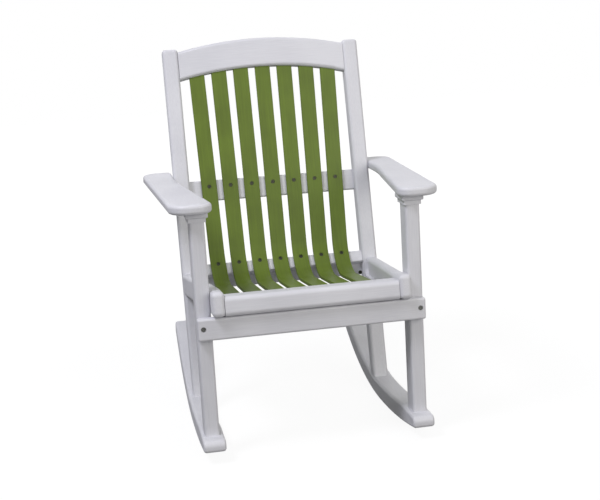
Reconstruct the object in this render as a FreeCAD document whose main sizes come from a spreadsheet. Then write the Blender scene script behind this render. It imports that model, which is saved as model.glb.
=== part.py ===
import FreeCAD, Part
import Sketcher
import math
import os

# Rocking adirondack chair: two curved rockers, straight legs, slanted back
# posts, boxed seat frame, wide arms and seven bent slats that form both the
# seat and the back. Millimetres, +Z up, the sitter looks towards -Y.
# The origin is on the floor, under the middle of the chair's outer box.

SIZES = {
    # frame seen from the front
    "frame_half": 293.5,        # middle of the chair to the outer face of a front leg
    "leg_wide": 38,
    "leg_deep": 56,
    "leg_round": 7,
    # rockers
    "rocker_wide": 58,
    "rocker_high": 49,          # across the curved board
    "rocker_proud": 8.5,        # how far a rocker stands out past the leg
    "rocker_front_radius": 1900,
    "rocker_rear_radius": 845,
    "rocker_rest": 318.4,       # front of the legs to the point that touches the floor
    "rocker_rear_angle": 34.3,  # degrees from the resting point to the rear tip
    "rocker_nose": 40,          # reach in front of the legs
    "rocker_flat_high": 64,     # height of the flat that carries the front leg
    "rocker_edge_round": 8,
    "nose_top_round": 17,
    "nose_low_round": 9,
    "tail_round": 12,
    # back posts and the rails between them
    "back_lean_angle": 11.8,          # degrees from upright
    "back_foot": 367.1,         # front of the posts, followed down to the floor
    "post_wide": 45,
    "post_deep": 40,
    "post_inset": 4.5,          # post's outer face inside the leg's outer face
    "post_length": 1057,        # floor level to the top, along the post
    "post_round": 9,
    "crest_deep": 34,
    "crest_setback": 3,
    "crest_high": 84,
    "crest_rise": 29,
    "crest_peak_rise": 21,      # above the tops of the posts
    "crest_round": 9,
    "mid_rail_high": 60,
    "mid_rail_deep": 19,
    "mid_rail_low_edge": 612,
    "rail_edge_round": 4,
    "lower_rail_high": 35.5,
    "lower_rail_deep": 20,
    "lower_rail_angle": 36.5,
    "lower_rail_lap": 7.5,      # top edge above the line of screws
    "rear_rail_high": 38,
    "rear_rail_deep": 20,
    "rear_rail_setback": 20,
    "rear_rail_play": 0.5,      # between its top and the lower back rail
    # seat frame
    "seat_slope_angle": 5.4,
    "seat_high": 440.4,         # top of the side rails above the legs' front faces
    "side_rail_wide": 33,
    "side_rail_high": 64,
    "side_rail_nose": 37,
    "side_rail_round": 12,
    "front_rail_deep": 70,
    "front_rail_drop": 14,
    "front_rail_nose": 32,
    "front_rail_round": 12,
    "apron_thick": 24.3,
    "apron_low_edge": 319,
    "apron_play": 0.1,          # under the seat rails, at the legs' front faces
    "apron_round": 6,
    "cleat_thick": 10,
    "cleat_strip": 10,
    "cleat_drop": 38,
    "cleat_setback": 6,
    "cleat_reach": 118,
    "cleat_bend": 20,
    "cleat_round": 1.2,
    # slats
    "slat_wide": 44.5,
    "slat_thick": 10,
    "slat_edge_gap": 39.05,     # outer slat to the post, at the lower screws
    "slat_fan_angle": 0.4,            # degrees that each slat turns from the next
    "slat_setback": 11,         # slat's face behind the front of the posts
    "slat_bend": 110,
    "slat_drop": 33,            # slat's seat face below the top of the side rails
    "slat_round": 2.5,
    "slat_top_drop": 70,        # below the peak of the crest rail
    "slat_insert": 10,
    "groove_play": 0.6,         # above and below a slat in its groove
    "groove_side_play": 1.8,
    # arms
    "arm_thick": 25,
    "arm_slope_angle": 1.3,
    "arm_high": 664,
    "arm_nose": 34,
    "arm_inside": 44.5,         # the middle of the leg to the arm's inner edge
    "arm_outside": 65.5,        # and to its outer edge, in front
    "arm_rear_outside": 101.5,
    "arm_length": 606,
    "arm_curve_start": 330,
    "arm_curve_inset": 12,
    "arm_curve_end": 478,
    "arm_front_inner_corner": 35,
    "arm_front_outer_corner": 50,
    "arm_rear_inner_corner": 20,
    "arm_rear_outer_corner": 40,
    "arm_round": 9,
    "cap_upper_high": 13,
    "cap_lower_high": 11,
    "cap_upper_lip": 9,
    "cap_lower_lip": 4,
    "cap_round": 3,
    # fasteners
    "screw_head": 5.2,          # radius
    "screw_head_high": 2.6,
    "screw_socket": 2.3,
    "screw_shank": 2,
    "screw_long": 22,
    "screw_line_rise": 41,      # above the mid rail's low edge
    "screw_sink": 1.2,
    "bolt_head": 5.8,
    "bolt_head_high": 4,
    "bolt_socket": 2.6,
    "bolt_shank": 3,
    "bolt_long": 44,
    "bolt_inset": 14.5,         # from the leg's outer face
    "bolt_high": 349.6,
    "bolt_sink": 1.5,
    "rear_screw_inset": 6,      # from the post's inner face
    "rear_screw_rise": 6.5,     # above the rail's low edge
    "rear_screw_long": 16,
    "socket_deep": 1.6,
    "head_play": 0.8,           # around a head in its countersunk hole
    "hole_play": 0.15,
    "rail_play": 0.35,          # between the lower rail and the bent slats
}

SLATS = 7
SIDES = {"left": -1, "right": 1}
NEAR = 0.5                      # an edge this close to a place is taken to be there

doc = FreeCAD.newDocument("RockingChair")
sheet = doc.addObject("Spreadsheet::Sheet", "Sizes")
worked = doc.addObject("App::VarSet", "Worked")
for row, (alias, value) in enumerate(SIZES.items(), start=1):
    sheet.set("A%d" % row, alias.replace("_", " "))
    sheet.set("B%d" % row, str(value))
    sheet.setAlias("B%d" % row, alias)
doc.recompute()


class Term:
    """A formula on the sheet's sizes, kept with the number that it comes to."""

    def __init__(self, text, value):
        self.text = text
        self.value = value

    def __add__(self, other):
        other = term(other)
        return Term("(%s + %s)" % (self.text, other.text), self.value + other.value)

    def __sub__(self, other):
        other = term(other)
        return Term("(%s - %s)" % (self.text, other.text), self.value - other.value)

    def __mul__(self, other):
        other = term(other)
        return Term("(%s * %s)" % (self.text, other.text), self.value * other.value)

    def __truediv__(self, other):
        other = term(other)
        return Term("(%s / %s)" % (self.text, other.text), self.value / other.value)

    def __neg__(self):
        return self * -1

    def __radd__(self, other):
        return term(other) + self

    def __rsub__(self, other):
        return term(other) - self

    def __rmul__(self, other):
        return term(other) * self


def term(value):
    if isinstance(value, Term):
        return value
    return Term("(%r)" % float(value), float(value))


def sine(angle):
    return Term("sin(%s)" % angle.text, math.sin(math.radians(angle.value)))


def cosine(angle):
    return Term("cos(%s)" % angle.text, math.cos(math.radians(angle.value)))


def tangent(angle):
    return Term("tan(%s)" % angle.text, math.tan(math.radians(angle.value)))


def arc_tangent(ratio):
    return Term("atan(%s)" % ratio.text, math.degrees(math.atan(ratio.value)))


def root(square):
    return Term("sqrt(%s)" % square.text, math.sqrt(square.value))


def keep(name, formula, kind="App::PropertyFloat"):
    """Stores a worked-out size under its own name, still tied to the sheet."""
    worked.addProperty(kind, name)
    worked.setExpression(name, formula.text)
    return Term("Worked.%s" % name, formula.value)


def bind(item, prop, value):
    """Ties a property of an object to a formula."""
    value = term(value)
    item.setExpression(prop, value.text)


# every size by its own name, as a term
size = {alias: Term("Sizes.%s" % alias, float(value)) for alias, value in SIZES.items()}

# worked-out sizes of the whole chair
rear_reach = size["rocker_rest"] + size["rocker_rear_radius"] * sine(size["rocker_rear_angle"])
setback = keep("setback", (rear_reach - size["rocker_nose"]) / 2)
rail_outer = keep("rail_outer", size["frame_half"] - size["leg_wide"])
rail_inner = keep("rail_inner", rail_outer - size["side_rail_wide"])
post_outer = keep("post_outer", size["frame_half"] - size["post_inset"])
post_inner = keep("post_inner", post_outer - size["post_wide"])
crest_peak = keep("crest_peak", size["post_length"] + size["crest_peak_rise"])
slat_top = keep("slat_top", crest_peak - size["slat_top_drop"])
slat_pitch = keep("slat_pitch", (
    post_inner - size["slat_edge_gap"] - size["slat_wide"] / 2) / ((SLATS - 1) / 2))
screw_line = keep("screw_line", size["mid_rail_low_edge"] + size["screw_line_rise"])
bolt_side = keep("bolt_side", size["frame_half"] - size["bolt_inset"])
rear_screw_side = keep("rear_screw_side", post_inner - size["rear_screw_inset"])
back_to_seat = keep("back_to_seat", size["back_lean_angle"] - size["seat_slope_angle"])


class Frame:
    """A working plane: where it starts above the floor and its turn about the X axis."""

    def __init__(self, start_y, start_z, turn):
        self.start_y = term(start_y)
        self.start_z = term(start_z)
        self.turn = term(turn)

    def point(self, along, up):
        """Gives the chair's own y and z of a point of this plane."""
        along, up = term(along), term(up)
        y = self.start_y + along * cosine(self.turn) - up * sine(self.turn)
        z = self.start_z + along * sine(self.turn) + up * cosine(self.turn)
        return y, z


FLOOR = Frame(0, 0, 0)
BACK = Frame(size["back_foot"], 0, -size["back_lean_angle"])
SEAT = Frame(0, size["seat_high"], -size["seat_slope_angle"])
ARM = Frame(0, size["arm_high"], size["arm_slope_angle"])

X_AXIS = (1, 0, 0)
Y_AXIS = (0, 1, 0)
Z_AXIS = (0, 0, 1)


def placement(x, y, z, *turns):
    """Writes the formula of a placement; turns are pairs of axis and angle, outermost first."""
    spins = ["rotation(vector(%d; %d; %d); %s)" % (*axis, term(angle).text) for axis, angle in turns]
    return "placement(vector(%s; %s; %s); %s)" % (
        term(x).text, term(y).text, term(z).text, " * ".join(spins))


def stand(item, frame, x, along, up, *turns):
    """Puts an object at a point of a frame, turned with the frame and then by its own turns."""
    y, z = frame.point(along, up)
    text = placement(x, y - setback, z, (X_AXIS, frame.turn), *turns)
    item.setExpression("Placement", text)


def new_body(label):
    body = doc.addObject("PartDesign::Body", label)
    body.Label = label
    return body


def plane_of(body, role):
    return next(item for item in body.Origin.OriginFeatures if item.Role == role)


class Arc:
    """An arc up to a corner: its radius and the side of its centre, 1 left and -1 right of travel."""

    def __init__(self, radius, side):
        self.radius = term(radius)
        self.side = side


def arc_geometry(start, end, arc):
    """Returns the arc between two corners, and whether it runs from start to end."""
    a, b = FreeCAD.Vector(*start, 0), FreeCAD.Vector(*end, 0)
    chord = b - a
    left = FreeCAD.Vector(-chord.y, chord.x, 0).normalize()
    radius = arc.radius.value
    rise = math.sqrt(radius ** 2 - (chord.Length / 2) ** 2)
    centre = (a + b) * 0.5 + left * (arc.side * rise)
    circle = Part.Circle(centre, FreeCAD.Vector(0, 0, 1), radius)
    first, last = (a, b) if arc.side > 0 else (b, a)
    angles = [math.atan2(p.y - centre.y, p.x - centre.x) for p in (first, last)]
    return Part.ArcOfCircle(circle, angles[0], angles[1]), arc.side > 0


def outline(body, role, corners):
    """Draws a closed chain of lines and arcs; a corner is (x, y) or (x, y, arc up to it)."""
    sketch = body.newObject("Sketcher::SketchObject", body.Name + "_outline")
    sketch.AttachmentSupport = [(plane_of(body, role), "")]
    sketch.MapMode = "FlatFace"
    spots = [(term(corner[0]), term(corner[1])) for corner in corners]
    values = [(x.value, y.value) for x, y in spots]
    ends = []
    for index, corner in enumerate(corners):
        start, end = values[index - 1], values[index]
        if len(corner) == 3:
            shape, forward = arc_geometry(start, end, corner[2])
            geometry = sketch.addGeometry(shape, False)
            mark = sketch.addConstraint(Sketcher.Constraint("Radius", geometry, corner[2].radius.value))
            sketch.setExpression("Constraints[%d]" % mark, corner[2].radius.text)
        else:
            line = Part.LineSegment(FreeCAD.Vector(*start, 0), FreeCAD.Vector(*end, 0))
            geometry, forward = sketch.addGeometry(line, False), True
        ends.append((geometry, 1 if forward else 2, 2 if forward else 1))
    for index, (geometry, _, last) in enumerate(ends):
        following = ends[(index + 1) % len(ends)]
        sketch.addConstraint(Sketcher.Constraint("Coincident", geometry, last, following[0], following[1]))
        for kind, spot in zip(("DistanceX", "DistanceY"), spots[index]):
            mark = sketch.addConstraint(
                Sketcher.Constraint(kind, -1, 1, geometry, last, spot.value))
            sketch.setExpression("Constraints[%d]" % mark, spot.text)
    return sketch


def pad(body, sketch, length, reverse=False, middle=False):
    """Thickens an outline, to one side or about its middle."""
    feature = body.newObject("PartDesign::Pad", body.Name + "_pad")
    feature.Profile = sketch
    bind(feature, "Length", length)
    feature.Reversed = reverse
    if middle:
        feature.SideType = "Symmetric"
    sketch.Visibility = False
    return feature


def box(body, kind, length, width, height, corner, *turns):
    """Adds or takes away a block that starts at a corner of the body's own axes."""
    block = body.newObject("PartDesign::%sBox" % kind, body.Name + "_block")
    for prop, value in zip(("Length", "Width", "Height"), (length, width, height)):
        bind(block, prop, value)
    block.setExpression("Placement", placement(*corner, *(turns or ((Z_AXIS, 0),))))
    return block


def bore(body, radius, depth, start, *turns):
    """Drills a round hole along the body's +Y axis, or as turned."""
    hole = body.newObject("PartDesign::SubtractiveCylinder", body.Name + "_bore")
    bind(hole, "Radius", radius)
    bind(hole, "Height", depth)
    hole.setExpression("Placement", placement(*start, *turns, (X_AXIS, -90)))
    return hole


def soften(body, radius, wanted):
    """Rounds those edges of a body that the test wanted picks."""
    doc.recompute()
    tip = body.Tip
    names = ["Edge%d" % (index + 1) for index, edge in enumerate(tip.Shape.Edges) if wanted(edge)]
    fillet = body.newObject("PartDesign::Fillet", body.Name + "_round")
    fillet.Base = (tip, names)
    bind(fillet, "Radius", radius)
    doc.recompute()
    return fillet


def runs_along(edge, axis, slack=0.02):
    """Tells whether an edge is straight along one of the body's axes."""
    span = edge.Vertexes[-1].Point - edge.Vertexes[0].Point
    return span.Length > 0 and (span.normalize().cross(FreeCAD.Vector(*axis))).Length < slack


def passes(edge, *spots):
    """Tells whether an edge along X passes one of some points of the YZ plane."""
    middle = edge.CenterOfMass
    return runs_along(edge, X_AXIS) and any(
        math.hypot(middle.y - term(y).value, middle.z - term(z).value) < NEAR for y, z in spots)


def on_flank(edge, half):
    """Tells whether an edge lies on one of the two side faces of a board of that half width."""
    return all(abs(abs(v.X) - half.value) < NEAR for v in edge.Vertexes)


# Rockers: two arcs that meet where the chair rests, thickened to the same depth.
front_hub = size["rocker_front_radius"]
rear_hub = size["rocker_rear_radius"]
rocker_middle = keep(
    "rocker_middle", size["frame_half"] + size["rocker_proud"] - size["rocker_wide"] / 2)
front_top_radius = keep("front_top_radius", front_hub - size["rocker_high"])
rear_top_radius = keep("rear_top_radius", rear_hub - size["rocker_high"])


def under_front(reach, radius):
    """Height of the front arc of a radius at a distance in front of the resting point."""
    return front_hub - root(radius * radius - reach * reach)


def make_rocker(label, side):
    body = new_body(label)
    rest = size["rocker_rest"]
    flat_depth = front_hub - size["rocker_flat_high"]
    flat_end = rest - root(front_top_radius * front_top_radius - flat_depth * flat_depth)
    nose = -size["rocker_nose"]
    nose_low = under_front(rest + size["rocker_nose"], front_hub)
    tip = size["rocker_rear_angle"]
    tail_low = (rest + rear_hub * sine(tip), rear_hub - rear_hub * cosine(tip))
    tail_top = (rest + rear_top_radius * sine(tip), rear_hub - rear_top_radius * cosine(tip))
    sketch = outline(body, "YZ_Plane", [
        (nose, nose_low),
        (rest, 0, Arc(front_hub, 1)),
        (*tail_low, Arc(rear_hub, 1)),
        tail_top,
        (rest, size["rocker_high"], Arc(rear_top_radius, -1)),
        (flat_end, size["rocker_flat_high"], Arc(front_top_radius, -1)),
        (nose, size["rocker_flat_high"]),
    ])
    pad(body, sketch, size["rocker_wide"], middle=True)
    soften(body, size["nose_top_round"], lambda e: passes(e, (nose, size["rocker_flat_high"])))
    soften(body, size["nose_low_round"], lambda e: passes(e, (nose, nose_low)))
    soften(body, size["tail_round"], lambda e: passes(e, tail_low, tail_top))
    soften(body, size["rocker_edge_round"], lambda e: on_flank(e, size["rocker_wide"] / 2))
    stand(body, FLOOR, side * rocker_middle, 0, 0)
    return body


# Front legs stand on the rockers' flats; the arm's slope cuts their tops.
cap_high = size["cap_upper_high"] + size["cap_lower_high"]
leg_middle = keep("leg_middle", size["frame_half"] - size["leg_wide"] / 2)
leg_top_front = keep(
    "leg_top_front", size["arm_high"] - (size["arm_thick"] + cap_high) / cosine(size["arm_slope_angle"]))
leg_top_back = leg_top_front + size["leg_deep"] * tangent(size["arm_slope_angle"])
bolt_hole = size["bolt_shank"] + size["hole_play"]
bolt_start = size["bolt_sink"] - size["apron_thick"]


def make_front_leg(label, side):
    body = new_body(label)
    sketch = outline(body, "YZ_Plane", [
        (0, size["rocker_flat_high"]),
        (size["leg_deep"], size["rocker_flat_high"]),
        (size["leg_deep"], leg_top_back),
        (0, leg_top_front),
    ])
    pad(body, sketch, size["leg_wide"], middle=True)
    soften(body, size["leg_round"], lambda e: runs_along(e, Z_AXIS))
    bolt_offset = side * (bolt_side - leg_middle)
    bolt_end = bolt_start + size["bolt_long"] + size["hole_play"]
    bore(body, bolt_hole, bolt_end, (bolt_offset, 0, size["bolt_high"]))
    stand(body, FLOOR, side * leg_middle, 0, 0)
    return body


# Back posts: each one straight board that is both rear leg and post. Its foot
# follows the top of the rocker, an arc in the post's own slanted plane.
post_middle = keep("post_middle", post_outer - size["post_wide"] / 2)
hub_gap = size["rocker_rest"] - size["back_foot"]
hub_along = keep(
    "hub_along", hub_gap * cosine(size["back_lean_angle"]) - rear_hub * sine(size["back_lean_angle"]))
hub_up = keep(
    "hub_up", hub_gap * sine(size["back_lean_angle"]) + rear_hub * cosine(size["back_lean_angle"]))


def post_foot(along):
    """Height along the post at which it meets the top of the rocker."""
    gap = along - hub_along
    return hub_up - root(rear_top_radius * rear_top_radius - gap * gap)


def make_back_post(label, side):
    body = new_body(label)
    deep, top = size["post_deep"], size["post_length"]
    foot_front, foot_back = post_foot(term(0)), post_foot(deep)
    sketch = outline(body, "YZ_Plane", [
        (0, foot_front),
        (deep, foot_back, Arc(rear_top_radius, 1)),
        (deep, top),
        (0, top),
    ])
    pad(body, sketch, size["post_wide"], middle=True)
    soften(body, size["post_round"], lambda e: runs_along(e, Z_AXIS) or e.CenterOfMass.z > top.value - NEAR)
    stand(body, BACK, side * post_middle, 0, 0)
    return body


# Slats: bent boards. The bend's centre lies one radius in front of the slanted
# part and one radius above the seat part.
bend_along = keep("bend_along", size["slat_setback"] - size["slat_bend"])
seat_rise = size["slat_bend"] - size["slat_drop"]
bend_up = keep("bend_up", (
    seat_rise + size["seat_high"] * cosine(size["seat_slope_angle"])
    - size["back_foot"] * sine(size["seat_slope_angle"]) + bend_along * sine(back_to_seat)
) / cosine(back_to_seat))
bend_seat = keep("bend_seat", (
    size["back_foot"] * cosine(size["seat_slope_angle"]) + size["seat_high"] * sine(size["seat_slope_angle"])
    + bend_along * cosine(back_to_seat) + bend_up * sine(back_to_seat)))
outer_bend = keep("outer_bend", size["slat_bend"] + size["slat_thick"])
lower_turn = keep("lower_turn", size["lower_rail_angle"] - size["back_lean_angle"])
pivot_along = keep("pivot_along", bend_along + size["slat_bend"] * cosine(lower_turn))
pivot_up = keep("pivot_up", bend_up - size["slat_bend"] * sine(lower_turn))
seat_run = keep("seat_run", bend_seat - (size["front_rail_deep"] - size["front_rail_nose"])
                + size["slat_insert"])
sunk_head = size["screw_head"] + size["head_play"]
sunk_deep = size["screw_sink"] + size["screw_head_high"] + size["hole_play"]
screw_hole = size["screw_shank"] + size["hole_play"]


def slat_numbers():
    """Counts the slats from the middle one, which is 0."""
    return [index - (SLATS - 1) // 2 for index in range(SLATS)]


def slat_point(number, up):
    """Sideways place of a slat's middle line at a height along the back."""
    turn = number * size["slat_fan_angle"]
    return number * slat_pitch + (up - pivot_up) * tangent(turn)


def slat_corner(radius, extra):
    """The end of the bend on the seat side, moved forwards along the seat by extra."""
    along = bend_along + radius * sine(back_to_seat) - extra * cosine(back_to_seat)
    up = bend_up - radius * cosine(back_to_seat) - extra * sine(back_to_seat)
    return along, up - pivot_up


def lower_spot(depth):
    """A point on the line of a slat's lower screw, at a depth behind the slat's face."""
    return pivot_along + depth * cosine(lower_turn), -depth * sine(lower_turn)


def make_slat(label, number):
    body = new_body(label)
    through = 2 * size["slat_thick"]
    face, back = size["slat_setback"], size["slat_setback"] + size["slat_thick"]
    start, top = bend_up - pivot_up, slat_top - pivot_up
    sketch = outline(body, "YZ_Plane", [
        (face, top),
        (face, start),
        (*slat_corner(size["slat_bend"], term(0)), Arc(size["slat_bend"], -1)),
        slat_corner(size["slat_bend"], seat_run),
        slat_corner(outer_bend, seat_run),
        slat_corner(outer_bend, term(0)),
        (back, start, Arc(outer_bend, 1)),
        (back, top),
    ])
    pad(body, sketch, size["slat_wide"], middle=True)
    soften(body, size["slat_round"], lambda e: on_flank(e, size["slat_wide"] / 2)
           and not runs_along(e, X_AXIS) and e.Length > 2 * size["slat_thick"].value)
    line = screw_line - pivot_up
    bore(body, sunk_head, sunk_deep, (0, face, line))
    bore(body, screw_hole, through, (0, face, line))
    outside = (0, *lower_spot(-size["screw_sink"]))
    bore(body, sunk_head, sunk_deep + size["screw_sink"], outside, (X_AXIS, -lower_turn))
    bore(body, screw_hole, through, outside, (X_AXIS, -lower_turn))
    stand(body, BACK, number * slat_pitch, 0, pivot_up, (Y_AXIS, number * size["slat_fan_angle"]))
    return body


# Rails between the posts.
between = keep("between", 2 * post_inner)
slat_span = keep("slat_span", 2 * slat_point((SLATS - 1) // 2, slat_top)
                 + size["slat_wide"] + 2 * size["groove_side_play"])
slat_slot = size["slat_thick"] + 2 * size["groove_play"]


def pilot_depth():
    """Depth of a screw's hole behind the slat's back face."""
    return size["screw_sink"] + size["screw_long"] - size["slat_thick"] + size["hole_play"]


def make_crest_rail(label):
    body = new_body(label)
    end = crest_peak - size["crest_rise"]
    arch = (post_inner * post_inner + size["crest_rise"] * size["crest_rise"]) / (2 * size["crest_rise"])
    arch = keep("crest_arch", arch)
    sketch = outline(body, "XZ_Plane", [
        (-post_inner, end - size["crest_high"]),
        (post_inner, end - size["crest_high"], Arc(arch, -1)),
        (post_inner, end),
        (-post_inner, end, Arc(arch, 1)),
    ])
    pad(body, sketch, size["crest_deep"], reverse=True)
    soften(body, size["crest_round"], lambda e: abs(e.CenterOfMass.x) < NEAR)
    slot = size["slat_setback"] - size["crest_setback"] - size["groove_play"]
    bottom = end - size["crest_high"] - size["crest_rise"]
    box(body, "Subtractive", slat_span, slat_slot, slat_top + size["groove_play"] - bottom,
        (-slat_span / 2, slot, bottom))
    stand(body, BACK, 0, size["crest_setback"], 0)
    return body


def make_mid_back_rail(label):
    body = new_body(label)
    box(body, "Additive", between, size["mid_rail_deep"], size["mid_rail_high"], (-between / 2, 0, 0))
    soften(body, size["rail_edge_round"], lambda e: runs_along(e, X_AXIS))
    for number in slat_numbers():
        bore(body, screw_hole, pilot_depth(),
             (slat_point(number, screw_line), 0, screw_line - size["mid_rail_low_edge"]))
    stand(body, BACK, 0, size["slat_setback"] + size["slat_thick"], size["mid_rail_low_edge"])
    return body


lower_rail_reach = outer_bend + size["rail_play"]
lower_rail_along = keep("lower_rail_along", bend_along + lower_rail_reach * cosine(lower_turn))
lower_rail_up = keep("lower_rail_up", bend_up - lower_rail_reach * sine(lower_turn))
lower_rail_foot = size["lower_rail_lap"] - size["lower_rail_high"]


def under_lower_rail(along):
    """Height along the back at which the lower rail's rear face is met."""
    deep = size["lower_rail_deep"]
    corner_along = lower_rail_along + deep * cosine(lower_turn) + lower_rail_foot * sine(lower_turn)
    corner_up = lower_rail_up - deep * sine(lower_turn) + lower_rail_foot * cosine(lower_turn)
    return corner_up + (along - corner_along) / tangent(lower_turn)


def make_lower_back_rail(label):
    body = new_body(label)
    box(body, "Additive", between, size["lower_rail_deep"], size["lower_rail_high"],
        (-between / 2, 0, lower_rail_foot))
    soften(body, size["rail_edge_round"], lambda e: runs_along(e, X_AXIS))
    for number in slat_numbers():
        bore(body, screw_hole, pilot_depth(), (number * slat_pitch, 0, 0))
    stand(body, BACK, 0, lower_rail_along, lower_rail_up, (X_AXIS, -lower_turn))
    return body


rear_rail_top = under_lower_rail(size["rear_rail_setback"]) - size["rear_rail_play"]
rear_rail_low = keep("rear_rail_low", rear_rail_top - size["rear_rail_high"])


def make_rear_seat_rail(label):
    body = new_body(label)
    box(body, "Additive", between, size["rear_rail_deep"], size["rear_rail_high"], (-between / 2, 0, 0))
    soften(body, size["rail_edge_round"], lambda e: runs_along(e, X_AXIS))
    for side in SIDES.values():
        spot = (side * rear_screw_side, 0, size["rear_screw_rise"])
        bore(body, sunk_head, sunk_deep, spot)
        bore(body, screw_hole, size["screw_sink"] + size["rear_screw_long"] + size["hole_play"], spot)
    stand(body, BACK, 0, size["rear_rail_setback"], rear_rail_low)
    return body


# Seat frame: side rails run straight past the front legs, then splay out to the
# back posts, where the posts' slant cuts them off.
rail_bend = keep("rail_bend", (
    size["leg_deep"] + size["side_rail_high"] * sine(size["seat_slope_angle"])) / cosine(size["seat_slope_angle"]))
lean_slope = tangent(size["back_lean_angle"])
rail_end = keep("rail_end", (size["back_foot"] + lean_slope * size["seat_high"]) / (
    cosine(size["seat_slope_angle"]) + lean_slope * sine(size["seat_slope_angle"])))
splay = keep("splay", arc_tangent((post_outer - rail_outer) / (rail_end - rail_bend)))


def make_side_rail(label, side):
    body = new_body(label)
    high = size["side_rail_high"]
    past = rail_end + size["post_deep"]
    spread = (size["post_deep"] + rail_end - rail_bend) * tangent(splay)
    nose = -size["side_rail_nose"]
    corners = [
        (side * rail_inner, nose),
        (side * rail_outer, nose),
        (side * rail_outer, rail_bend),
        (side * (rail_outer + spread), past),
        (side * (rail_inner + spread), past),
        (side * rail_inner, rail_bend),
    ]
    pad(body, outline(body, "XY_Plane", corners), high, reverse=True)
    soften(body, size["side_rail_round"], lambda e: is_rail_edge(e, nose.value, past.value))
    # a block larger than the rail's end trims it along the post's front face
    reach = high + size["post_deep"]
    corner = (side * post_middle - reach, rail_end - reach * tangent(back_to_seat), -reach)
    box(body, "Subtractive", 2 * reach, 2 * reach, 2 * reach, corner, (X_AXIS, -back_to_seat))
    stand(body, SEAT, 0, 0, 0)
    return body


def is_rail_edge(edge, front, back):
    """Tells whether an edge is rounded: all of them, but not the bends, nor those at the post."""
    ys = [v.Y for v in edge.Vertexes]
    upright = runs_along(edge, Z_AXIS)
    if upright:
        return max(ys) < front + NEAR
    return min(ys) < back - NEAR


def make_front_seat_rail(label):
    body = new_body(label)
    wide = 2 * rail_inner
    deep = size["front_rail_deep"]
    high = size["side_rail_high"] - size["front_rail_drop"]
    box(body, "Additive", wide, deep, high, (-wide / 2, 0, -high))
    soften(body, size["front_rail_round"], lambda e: runs_along(e, X_AXIS))
    inset = size["slat_insert"] + size["groove_play"]
    top = size["front_rail_drop"] - size["slat_drop"] + size["groove_play"]
    span = (SLATS - 1) * slat_pitch + size["slat_wide"] + 2 * size["groove_side_play"]
    box(body, "Subtractive", span, inset * 2, slat_slot,
        (-span / 2, deep - inset, top - slat_slot))
    stand(body, SEAT, 0, -size["front_rail_nose"], -size["front_rail_drop"])
    return body


def make_front_apron(label):
    body = new_body(label)
    wide = 2 * size["frame_half"]
    under_rails = size["seat_high"] - size["side_rail_high"] / cosine(size["seat_slope_angle"])
    high = under_rails - size["apron_play"] - size["apron_low_edge"]
    box(body, "Additive", wide, size["apron_thick"], high, (-wide / 2, 0, 0))
    soften(body, size["apron_round"], lambda e: True)
    for side in SIDES.values():
        spot = (side * bolt_side, 0, size["bolt_high"] - size["apron_low_edge"])
        bore(body, size["bolt_head"] + size["head_play"],
             size["bolt_sink"] + size["bolt_head_high"] + size["hole_play"], spot)
        bore(body, bolt_hole, size["apron_thick"] * 2, spot)
    stand(body, FLOOR, 0, -size["apron_thick"], size["apron_low_edge"])
    return body


def make_seat_cleat(label, side):
    """A thin bent strip on the inner face of a side rail, under the ends of the seat."""
    body = new_body(label)
    strip, bend = size["cleat_strip"], size["cleat_bend"]
    under = size["side_rail_round"] + size["cleat_drop"]
    back = (rail_end - rail_bend - size["cleat_setback"]) / cosine(splay) - under * tangent(back_to_seat)
    drop = -size["cleat_drop"]
    outer = bend + strip
    sketch = outline(body, "YZ_Plane", [
        (back - strip, 0),
        (back - strip, drop + bend),
        (back - outer, drop, Arc(bend, -1)),
        (back - size["cleat_reach"], drop),
        (back - size["cleat_reach"], drop - strip),
        (back - outer, drop - strip),
        (back, drop + bend, Arc(outer, 1)),
        (back, 0),
    ])
    pad(body, sketch, size["cleat_thick"], reverse=side > 0)
    soften(body, size["cleat_round"], lambda e: on_flank(e, size["cleat_thick"]))
    stand(body, SEAT, side * rail_inner, rail_bend, -size["side_rail_round"], (Z_AXIS, -side * splay))
    return body


# Arms and the stepped caps that carry them on the front legs.
def make_arm(label, side):
    body = new_body(label)
    run = size["arm_curve_end"] - size["arm_curve_start"]
    inset = size["arm_curve_inset"]
    curve = keep("arm_curve_" + label, (run * run + inset * inset) / (2 * inset))
    front = -size["arm_nose"]
    inner = leg_middle - size["arm_inside"]
    outer = leg_middle + size["arm_outside"]
    rear_outer = leg_middle + size["arm_rear_outside"]
    sketch = outline(body, "XY_Plane", [
        (side * inner, front),
        (side * outer, front),
        (side * rear_outer, size["arm_length"]),
        (side * post_outer, size["arm_length"]),
        (side * post_outer, size["arm_curve_end"]),
        (side * (post_outer - inset), size["arm_curve_start"], Arc(curve, -side)),
    ])
    pad(body, sketch, size["arm_thick"], reverse=True)

    def corner(edge, x, y):
        middle = edge.CenterOfMass
        return runs_along(edge, Z_AXIS) and math.hypot(
            middle.x - side * x.value, middle.y - y.value) < NEAR

    tail = size["arm_length"]
    for radius, spot in (("arm_front_inner_corner", (inner, front)),
                         ("arm_front_outer_corner", (outer, front)),
                         ("arm_rear_inner_corner", (post_outer, tail)),
                         ("arm_rear_outer_corner", (rear_outer, tail))):
        soften(body, size[radius], lambda e: corner(e, *spot))
    half = size["arm_thick"].value / 2
    soften(body, size["arm_round"], lambda e: abs(abs(e.CenterOfMass.z + half) - half) < NEAR)
    stand(body, ARM, 0, 0, 0)
    return body


def make_arm_cap(label, side):
    body = new_body(label)
    level = -size["arm_thick"]
    for high, lip in ((size["cap_upper_high"], size["cap_upper_lip"]),
                      (size["cap_lower_high"], size["cap_lower_lip"])):
        wide, deep = size["leg_wide"] + 2 * lip, size["leg_deep"] + 2 * lip
        level = level - high
        box(body, "Additive", wide, deep, high, (-wide / 2, -lip, level))
    soften(body, size["cap_round"], is_cap_edge)
    stand(body, ARM, side * leg_middle, 0, 0)
    return body


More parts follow.
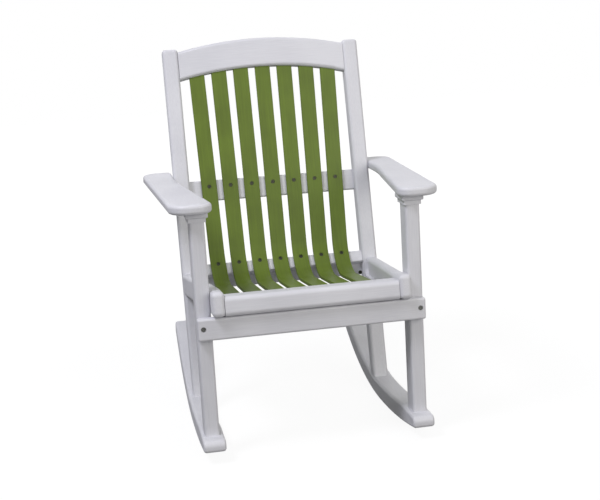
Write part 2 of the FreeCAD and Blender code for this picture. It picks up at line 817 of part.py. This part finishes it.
def is_cap_edge(edge):
    """Tells whether an edge of the cap is rounded: the outer corners and the outer rims."""
    middle = edge.CenterOfMass
    deep = size["leg_deep"].value
    top = -size["arm_thick"].value
    rim = abs(middle.z - (top - size["cap_upper_high"].value)) < NEAR
    reach = max(abs(middle.x) - size["leg_wide"].value / 2, abs(middle.y - deep / 2) - deep / 2)
    if rim:
        return reach > size["cap_upper_lip"].value - NEAR
    return abs(middle.z - top) < NEAR or runs_along(edge, Z_AXIS)


# Fasteners: a round head with a socket on a plain shank, along the body's +Y axis.
def make_screws(label, make, long, frame, spots, *turns):
    """One group of equal screws; spots are the places of the heads' faces in the frame."""
    screws = []
    for x, along, up in spots:
        pieces = []
        for kind, radius, high in (("head", size[make + "_head"], size[make + "_head_high"]),
                                   ("shank", size[make + "_shank"], long),
                                   ("socket", size[make + "_socket"], size["socket_deep"])):
            piece = doc.addObject("Part::Cylinder", "%s_%s" % (label, kind))
            bind(piece, "Radius", radius)
            bind(piece, "Height", high)
            stand(piece, frame, x, along, up, *turns, (X_AXIS, -90))
            pieces.append(piece)
        whole = doc.addObject("Part::Fuse", label + "_blank")
        whole.Base, whole.Tool = pieces[0], pieces[1]
        screw = doc.addObject("Part::Cut", label + "_screw")
        screw.Base, screw.Tool = whole, pieces[2]
        screws.append(screw)
    group = doc.addObject("Part::Compound", label)
    group.Label = label
    group.Links = screws
    return group


def slat_screws(label, along, up, *turns):
    spots = [(slat_point(number, up), along, up) for number in slat_numbers()]
    return make_screws(label, "screw", size["screw_long"], BACK, spots, *turns)


parts = []
for name, side in SIDES.items():
    parts.append(make_rocker("rocker_" + name, side))
    parts.append(make_front_leg("front_leg_" + name, side))
    parts.append(make_back_post("back_post_" + name, side))
    parts.append(make_side_rail("seat_rail_" + name, side))
    parts.append(make_seat_cleat("seat_cleat_" + name, side))
    parts.append(make_arm("arm_" + name, side))
    parts.append(make_arm_cap("arm_cap_" + name, side))
parts.append(make_crest_rail("crest_rail"))
parts.append(make_mid_back_rail("mid_back_rail"))
parts.append(make_lower_back_rail("lower_back_rail"))
parts.append(make_rear_seat_rail("rear_seat_rail"))
parts.append(make_front_seat_rail("front_seat_rail"))
parts.append(make_front_apron("front_apron"))
for index, number in enumerate(slat_numbers(), start=1):
    parts.append(make_slat("slat_%d" % index, number))
parts.append(slat_screws(
    "slat_screws_mid", size["slat_setback"] + size["screw_sink"], screw_line))
lower_along, lower_drop = lower_spot(size["screw_sink"])
parts.append(slat_screws(
    "slat_screws_lower", lower_along, pivot_up + lower_drop, (X_AXIS, -lower_turn)))
parts.append(make_screws(
    "rear_rail_screws", "screw", size["rear_screw_long"], BACK,
    [(side * rear_screw_side, size["rear_rail_setback"] + size["screw_sink"],
      rear_rail_low + size["rear_screw_rise"]) for side in SIDES.values()]))
parts.append(make_screws(
    "apron_bolts", "bolt", size["bolt_long"], FLOOR,
    [(side * bolt_side, bolt_start, size["bolt_high"]) for side in SIDES.values()]))

doc.recompute()
for item in doc.Objects:
    if "Invalid" in item.State or "Error" in item.State:
        raise RuntimeError("%s could not be built" % item.Label)
for part in parts:
    if part.Shape.isNull() or not part.Shape.isValid():
        raise RuntimeError("%s has no sound shape" % part.Label)

os.makedirs("parts", exist_ok=True)
for part in parts:
    part.Shape.exportStep(os.path.join("parts", part.Label + ".step"))
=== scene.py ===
"""Rocking adirondack chair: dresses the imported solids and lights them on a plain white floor."""

import logging
import math
from dataclasses import dataclass, field
from enum import Enum

import bpy
import numpy as np
from mathutils import Matrix, Vector


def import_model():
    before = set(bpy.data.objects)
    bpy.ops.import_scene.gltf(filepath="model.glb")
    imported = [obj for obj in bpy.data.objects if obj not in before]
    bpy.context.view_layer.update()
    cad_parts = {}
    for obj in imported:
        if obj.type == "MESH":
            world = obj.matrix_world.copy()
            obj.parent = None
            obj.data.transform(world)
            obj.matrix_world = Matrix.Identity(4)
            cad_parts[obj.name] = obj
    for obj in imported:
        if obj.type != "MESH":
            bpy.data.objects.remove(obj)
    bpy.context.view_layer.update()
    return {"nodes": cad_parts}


LOG = logging.getLogger("chair")
MM = 0.001
SIDES = ("left", "right")
EVEN = (1.0, 1.0, 1.0)  # stretch of a pattern that is not drawn out
WHITE = "FFFFFF"
FINE_LAYERS = 3.0  # detail of a noise
SOFT_LAYERS = 2.0
PLASTIC_IOR = 1.5

Triple = tuple[float, float, float]
Pair = tuple[float, float]


def linear(hex_colour: str) -> tuple[float, float, float, float]:
    """Turns an sRGB hex colour into the linear colour that a shader takes.

    Args:
        hex_colour: Six hex digits, such as "D8D8DE".

    Returns:
        Linear red, green, blue and an alpha of 1.
    """
    srgb = [int(hex_colour[i:i + 2], 16) / 255 for i in (0, 2, 4)]
    low = [c / 12.92 for c in srgb]
    high = [((c + 0.055) / 1.055) ** 2.4 for c in srgb]
    return tuple(a if c <= 0.04045 else b for c, a, b in zip(srgb, low, high)) + (1.0,)


class Grain(Enum):
    """The way a piece's lines run, as the stretch of the pattern on X, Y and Z."""

    ACROSS = (0.04, 1.0, 1.0)
    DEEP = (1.0, 0.04, 1.0)
    UPRIGHT = (1.0, 1.0, 0.04)
    BENT = (1.0, 0.03, 0.03)


def add_node(tree: bpy.types.NodeTree, kind: str, settings: dict | None = None,
             links: dict | None = None) -> bpy.types.Node:
    """Adds a shader node with its settings and the links into it.

    Args:
        tree: The material's node tree.
        kind: The node's type name.
        settings: Properties by name, or input values by socket name or number.
        links: Output sockets by the name or number of the input that they feed.

    Returns:
        The new node.
    """
    node = tree.nodes.new(kind)
    for key, value in (settings or {}).items():
        if isinstance(key, str) and hasattr(node, key):
            setattr(node, key, value)
        else:
            node.inputs[key].default_value = value
    for key, socket in (links or {}).items():
        tree.links.new(socket, node.inputs[key])
    return node


def new_material(name: str) -> tuple[bpy.types.Material, bpy.types.NodeTree]:
    """Makes an empty node material.

    Args:
        name: The real material's name.

    Returns:
        The material and its cleared tree.
    """
    material = bpy.data.materials.new(name)
    material.use_nodes = True
    material.node_tree.nodes.clear()
    return material, material.node_tree


def noise(tree: bpy.types.NodeTree, stretch: Triple, size_mm: float,
          detail: float) -> bpy.types.NodeSocket:
    """Adds a noise whose blotches have a real size, read from object coordinates.

    Args:
        tree: The material's node tree.
        stretch: Factor on the coordinates, below 1 where the pattern is drawn out.
        size_mm: Width of one blotch across the stretch.
        detail: Number of finer layers.

    Returns:
        The noise as a value from 0 to 1.
    """
    place = add_node(tree, "ShaderNodeTexCoord")
    mapping = add_node(tree, "ShaderNodeMapping", {"Scale": stretch},
                       {"Vector": place.outputs["Object"]})
    blotches = add_node(tree, "ShaderNodeTexNoise",
                        {"Scale": 1.0 / (size_mm * MM), "Detail": detail},
                        {"Vector": mapping.outputs["Vector"]})
    return blotches.outputs["Fac"]


def spread(tree: bpy.types.NodeTree, source: bpy.types.NodeSocket, ends: Pair,
           start: Pair = (0.0, 1.0)) -> bpy.types.NodeSocket:
    """Spreads a value over another range, held at its ends.

    Args:
        tree: The material's node tree.
        source: The value.
        ends: What the start range becomes.
        start: The range that is spread.

    Returns:
        The spread value.
    """
    node = add_node(tree, "ShaderNodeMapRange",
                    {"From Min": start[0], "From Max": start[1],
                     "To Min": ends[0], "To Max": ends[1]},
                    {"Value": source})
    return node.outputs["Result"]


def combine(tree: bpy.types.NodeTree, operation: str, first: bpy.types.NodeSocket,
            second: bpy.types.NodeSocket) -> bpy.types.NodeSocket:
    """Combines two values.

    Args:
        tree: The material's node tree.
        operation: The math node's operation.
        first: One value.
        second: The other value.

    Returns:
        The result.
    """
    node = add_node(tree, "ShaderNodeMath", {"operation": operation}, {0: first, 1: second})
    return node.outputs[0]


def ramp(tree: bpy.types.NodeTree, source: bpy.types.NodeSocket, stops: Pair,
         colours: tuple[str, str]) -> bpy.types.NodeSocket:
    """Blends one colour into another.

    Args:
        tree: The material's node tree.
        source: The value that picks the colour.
        stops: The values with the first and the last colour.
        colours: Both hex colours.

    Returns:
        The colour.
    """
    node = add_node(tree, "ShaderNodeValToRGB", None, {"Fac": source})
    for mark, place, colour in zip(node.color_ramp.elements, stops, colours):
        mark.position = place
        mark.color = linear(colour)
    return node.outputs["Color"]


@dataclass(frozen=True)
class PolyethyleneFinish:
    """Polyethylene dyed through: drawn-out lines over broad clouds, with a faint relief."""

    light: str
    shade: str
    line_mm: float
    cloud_mm: float
    line_share: float
    roughness: Pair
    relief_mm: float
    relief_strength: float
    gloss: float
    stops: Pair = (0.36, 0.64)

    def make(self, name: str, grain: Grain) -> bpy.types.Material:
        """Builds the material with its lines along one direction.

        Args:
            name: The material's name.
            grain: The direction of the lines.

        Returns:
            The finished material.
        """
        material, tree = new_material(name)
        lines = noise(tree, grain.value, self.line_mm, FINE_LAYERS)
        clouds = noise(tree, EVEN, self.cloud_mm, SOFT_LAYERS)
        cloud_part = add_node(tree, "ShaderNodeMath",
                              {"operation": "MULTIPLY", 1: 1.0 - self.line_share}, {0: clouds})
        mixed = add_node(tree, "ShaderNodeMath", {"operation": "MULTIPLY_ADD", 1: self.line_share},
                         {0: lines, 2: cloud_part.outputs[0]})
        relief = add_node(tree, "ShaderNodeBump",
                          {"Strength": self.relief_strength, "Distance": self.relief_mm * MM},
                          {"Height": lines})
        shader = add_node(tree, "ShaderNodeBsdfPrincipled",
                          {"IOR": PLASTIC_IOR, "Specular IOR Level": self.gloss},
                          {"Base Color": ramp(tree, mixed.outputs[0], self.stops,
                                              (self.shade, self.light)),
                           "Roughness": spread(tree, lines, self.roughness),
                           "Normal": relief.outputs["Normal"]})
        add_node(tree, "ShaderNodeOutputMaterial", None, {"Surface": shader.outputs["BSDF"]})
        return material


@dataclass(frozen=True)
class BoardFinish(PolyethyleneFinish):
    """White high-density polyethylene board: dull satin skin with faint extrusion lines."""

    light: str = "E0E0E4"
    shade: str = "D5D5DA"
    line_mm: float = 2.2
    cloud_mm: float = 140.0
    line_share: float = 0.45
    roughness: Pair = (0.38, 0.52)
    relief_mm: float = 0.12
    relief_strength: float = 0.25
    gloss: float = 0.5


@dataclass(frozen=True)
class StripFinish(PolyethyleneFinish):
    """Green polyethylene strip, bent hot: smoother than the boards, with long drawn streaks."""

    light: str = "6B7F2F"
    shade: str = "5F702B"
    line_mm: float = 3.5
    cloud_mm: float = 90.0
    line_share: float = 0.5
    roughness: Pair = (0.34, 0.46)
    relief_mm: float = 0.08
    relief_strength: float = 0.2
    gloss: float = 0.22


@dataclass(frozen=True)
class SteelFinish:
    """Stainless steel: dull grey with fine turned marks."""

    name: str = "stainless_steel_bolt"
    light: str = "8C8D89"
    shade: str = "5A5B58"
    mark_mm: float = 1.6
    roughness: Pair = (0.30, 0.55)
    stops: Pair = (0.35, 0.65)

    def make(self) -> bpy.types.Material:
        """Builds the material.

        Returns:
            The finished material.
        """
        material, tree = new_material(self.name)
        marks = noise(tree, EVEN, self.mark_mm, FINE_LAYERS)
        shader = add_node(tree, "ShaderNodeBsdfPrincipled", {"Metallic": 1.0},
                          {"Base Color": ramp(tree, marks, self.stops, (self.shade, self.light)),
                           "Roughness": spread(tree, marks, self.roughness)})
        add_node(tree, "ShaderNodeOutputMaterial", None, {"Surface": shader.outputs["BSDF"]})
        return material


def dress(names: list[str], material: bpy.types.Material,
          nodes: dict[str, bpy.types.Object]) -> None:
    """Gives CAD nodes their material and reports them.

    Args:
        names: The nodes' names.
        material: What they are made of.
        nodes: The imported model's objects by name.
    """
    for name in names:
        slots = nodes[name].data.materials
        slots.clear()
        slots.append(material)
        LOG.info("dressed %s in %s", name, material.name)


@dataclass
class Boards:
    """The white frame: every board by the direction in which its extrusion lines run."""

    finish: BoardFinish = field(default_factory=BoardFinish)
    across: tuple[str, ...] = ("crest_rail", "mid_back_rail", "lower_back_rail", "rear_seat_rail",
                               "front_seat_rail", "front_apron")
    deep_pairs: tuple[str, ...] = ("rocker", "seat_rail", "seat_cleat", "arm", "arm_cap")
    upright_pairs: tuple[str, ...] = ("front_leg", "back_post")

    def dress(self, nodes: dict[str, bpy.types.Object]) -> None:
        """Dresses all the boards.

        Args:
            nodes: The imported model's objects by name.
        """
        groups = {
            Grain.ACROSS: list(self.across),
            Grain.DEEP: [f"{name}_{side}" for name in self.deep_pairs for side in SIDES],
            Grain.UPRIGHT: [f"{name}_{side}" for name in self.upright_pairs for side in SIDES],
        }
        for grain, names in groups.items():
            material = self.finish.make(f"white_polyethylene_board_{grain.name.lower()}", grain)
            dress(names, material, nodes)


@dataclass
class Slats:
    """The seven bent green strips that are both seat and back."""

    finish: StripFinish = field(default_factory=StripFinish)
    count: int = 7

    def dress(self, nodes: dict[str, bpy.types.Object]) -> None:
        """Dresses the strips; their streaks run up the back and along the seat.

        Args:
            nodes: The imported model's objects by name.
        """
        names = [f"slat_{number + 1}" for number in range(self.count)]
        dress(names, self.finish.make("green_polyethylene_strip", Grain.BENT), nodes)


@dataclass
class Fasteners:
    """The steel bolts of the apron and the screws of the slats, whose darker colour is painted
    shade of their countersunk holes.
    """

    bolt_finish: SteelFinish = field(default_factory=SteelFinish)
    # The screws' darker steel is painted shade, standing in for the shade of the countersunk holes
    # they sit in.
    screw_finish: SteelFinish = field(default_factory=lambda: SteelFinish(
        name="steel_screw_painted_hole_shade", light="515346", shade="2A2C23"))
    bolts: tuple[str, ...] = ("apron_bolts",)
    screws: tuple[str, ...] = ("slat_screws_mid", "slat_screws_lower", "rear_rail_screws")

    def dress(self, nodes: dict[str, bpy.types.Object]) -> None:
        """Dresses the bolts and the screws.

        Args:
            nodes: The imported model's objects by name.
        """
        dress(list(self.bolts), self.bolt_finish.make(), nodes)
        dress(list(self.screws), self.screw_finish.make(), nodes)


@dataclass(frozen=True)
class Lamp:
    """A square soft light; its place and side are in metres."""

    name: str
    place: Triple
    side: float
    watts: float
    colour: str
    glossy: bool = True

    def hang(self, target: Triple) -> None:
        """Hangs the lamp in the scene.

        Args:
            target: The point that it faces, in metres.
        """
        data = bpy.data.lights.new(self.name, "AREA")
        data.shape = "SQUARE"
        data.size = self.side
        data.energy = self.watts
        data.color = linear(self.colour)[:3]
        lamp = bpy.data.objects.new(self.name, data)
        bpy.context.scene.collection.objects.link(lamp)
        lamp.location = self.place
        lamp.visible_glossy = self.glossy
        aim = Vector(target) - Vector(self.place)
        lamp.rotation_euler = aim.to_track_quat("-Z", "Y").to_euler()


@dataclass
class Studio:
    """A white floor, an even surround, the photo's camera and three lamps.

    The key light hangs at the upper left, the fill at the right front, and a weak light at
    the back, which glossy surfaces don't show, so that the arms' tops have no glare.
    """

    floor_half: float = 14.0
    floor_steps: int = 8
    floor_paint: str = "EFEFEF"
    floor_bounce: str = "8C8C8C"
    floor_grit_mm: float = 60.0
    floor_roughness: Pair = (0.85, 0.95)
    floor_gloss: float = 0.1
    floor_glow: float = 1.05
    floor_white: float = 0.88
    shadow_reach: Pair = (0.9, 2.4)
    surround: float = 0.37
    camera_place: Triple = (-0.4987, -3.0840, 1.0432)
    camera_turn: Triple = (-10.0, -10.65, -3.31)
    focal_px: float = 1116.0
    image_px: tuple[int, int] = (600, 500)
    centre_px: Pair = (299.9, 249.0)
    sensor_mm: float = 36.0
    target: Triple = (0.0, 0.0, 0.5)
    lamps: tuple[Lamp, ...] = (
        Lamp("key", (-1.9, -1.4, 3.5), 1.0, 76.0, "F4F4FF"),
        Lamp("fill", (1.9, -3.6, 1.7), 2.4, 55.0, "FFFCF6"),
        Lamp("back", (1.4, 3.6, 2.2), 2.4, 16.0, WHITE, glossy=False),
    )

    def floor(self) -> bpy.types.Object:
        """Builds the floor: a square grid at height 0, x and y even steps from minus half to half.

        Returns:
            The floor object.
        """
        line = np.linspace(-self.floor_half, self.floor_half, self.floor_steps + 1)
        x, y = np.meshgrid(line, line, indexing="ij")
        points = np.stack([x, y, np.zeros_like(x)], axis=-1).reshape(-1, 3)
        index = np.arange(points.shape[0]).reshape(x.shape)
        faces = np.stack([index[:-1, :-1], index[1:, :-1], index[1:, 1:], index[:-1, 1:]], axis=-1)
        mesh = bpy.data.meshes.new("floor")
        mesh.from_pydata(points.tolist(), [], faces.reshape(-1, 4).tolist())
        floor = bpy.data.objects.new("floor", mesh)
        bpy.context.scene.collection.objects.link(floor)
        mesh.materials.append(self.floor_material())
        return floor

    def floor_material(self) -> bpy.types.Material:
        """Painted studio floor: the camera sees it near white, and it keeps the chair's shadow.

        Away from the chair the camera sees it fully white, so that no horizon shows. For
        all other rays it is a mid grey, which throws little light back up.

        Returns:
            The finished material.
        """
        material, tree = new_material("white_studio_floor")
        camera_ray = add_node(tree, "ShaderNodeLightPath").outputs["Is Camera Ray"]
        grit = noise(tree, EVEN, self.floor_grit_mm, FINE_LAYERS)
        paint = add_node(tree, "ShaderNodeBsdfPrincipled", {"Specular IOR Level": self.floor_gloss},
                         {"Base Color": ramp(tree, camera_ray, (0.0, 1.0),
                                             (self.floor_bounce, self.floor_paint)),
                          "Roughness": spread(tree, grit, self.floor_roughness)})
        glow = add_node(tree, "ShaderNodeEmission",
                        {"Color": linear(WHITE), "Strength": self.floor_glow})
        place = add_node(tree, "ShaderNodeTexCoord")
        distance = add_node(tree, "ShaderNodeVectorMath", {"operation": "LENGTH"},
                            {0: place.outputs["Object"]})
        fade = spread(tree, distance.outputs["Value"], (self.floor_white, 1.0), self.shadow_reach)
        mix = add_node(tree, "ShaderNodeMixShader", None,
                       {0: combine(tree, "MULTIPLY", camera_ray, fade),
                        1: paint.outputs["BSDF"], 2: glow.outputs["Emission"]})
        add_node(tree, "ShaderNodeOutputMaterial", None, {"Surface": mix.outputs["Shader"]})
        return material

    def world(self) -> None:
        """Sets an even pale surround that the camera, gloss and glass see as white."""
        world = bpy.data.worlds.new("studio")
        bpy.context.scene.world = world
        world.use_nodes = True
        tree = world.node_tree
        tree.nodes.clear()
        rays = add_node(tree, "ShaderNodeLightPath").outputs
        seen = combine(tree, "MAXIMUM", rays["Is Camera Ray"], rays["Is Glossy Ray"])
        seen = combine(tree, "MAXIMUM", seen, rays["Is Transmission Ray"])
        light = add_node(tree, "ShaderNodeBackground", {"Color": linear(WHITE)},
                         {"Strength": spread(tree, seen, (self.surround, 1.0))})
        add_node(tree, "ShaderNodeOutputWorld", None, {"Surface": light.outputs["Background"]})

    def camera(self) -> None:
        """Places the camera: yaw, pitch and roll in degrees make its right, up and forward axes."""
        yaw, pitch, roll = (math.radians(turn) for turn in self.camera_turn)
        level = Vector((math.cos(yaw), math.sin(yaw), 0.0))
        ahead = Vector((-math.sin(yaw), math.cos(yaw), 0.0))
        forward = math.cos(pitch) * ahead + math.sin(pitch) * Vector((0.0, 0.0, 1.0))
        upright = level.cross(forward)
        right = math.cos(roll) * level + math.sin(roll) * upright
        up = math.cos(roll) * upright - math.sin(roll) * level
        data = bpy.data.cameras.new("camera")
        data.sensor_width = self.sensor_mm
        data.lens = self.focal_px * self.sensor_mm / self.image_px[0]
        data.shift_x = (self.image_px[0] / 2 - self.centre_px[0]) / self.image_px[0]
        data.shift_y = (self.centre_px[1] - self.image_px[1] / 2) / self.image_px[0]
        camera = bpy.data.objects.new("camera", data)
        bpy.context.scene.collection.objects.link(camera)
        axes = Matrix((right, up, -forward)).transposed().to_4x4()
        camera.matrix_world = Matrix.Translation(self.camera_place) @ axes
        bpy.context.scene.camera = camera

    def build(self) -> None:
        """Sets up the whole studio."""
        self.floor()
        self.world()
        self.camera()
        for lamp in self.lamps:
            lamp.hang(self.target)
        bpy.context.scene.view_settings.view_transform = "Standard"
        LOG.info("studio ready")


def main() -> None:
    """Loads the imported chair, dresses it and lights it."""
    logging.basicConfig(level=logging.INFO, format="%(message)s")
    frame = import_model()
    nodes = frame["nodes"]
    Boards().dress(nodes)
    Slats().dress(nodes)
    Fasteners().dress(nodes)
    Studio().build()


if __name__ == "__main__":
    main()
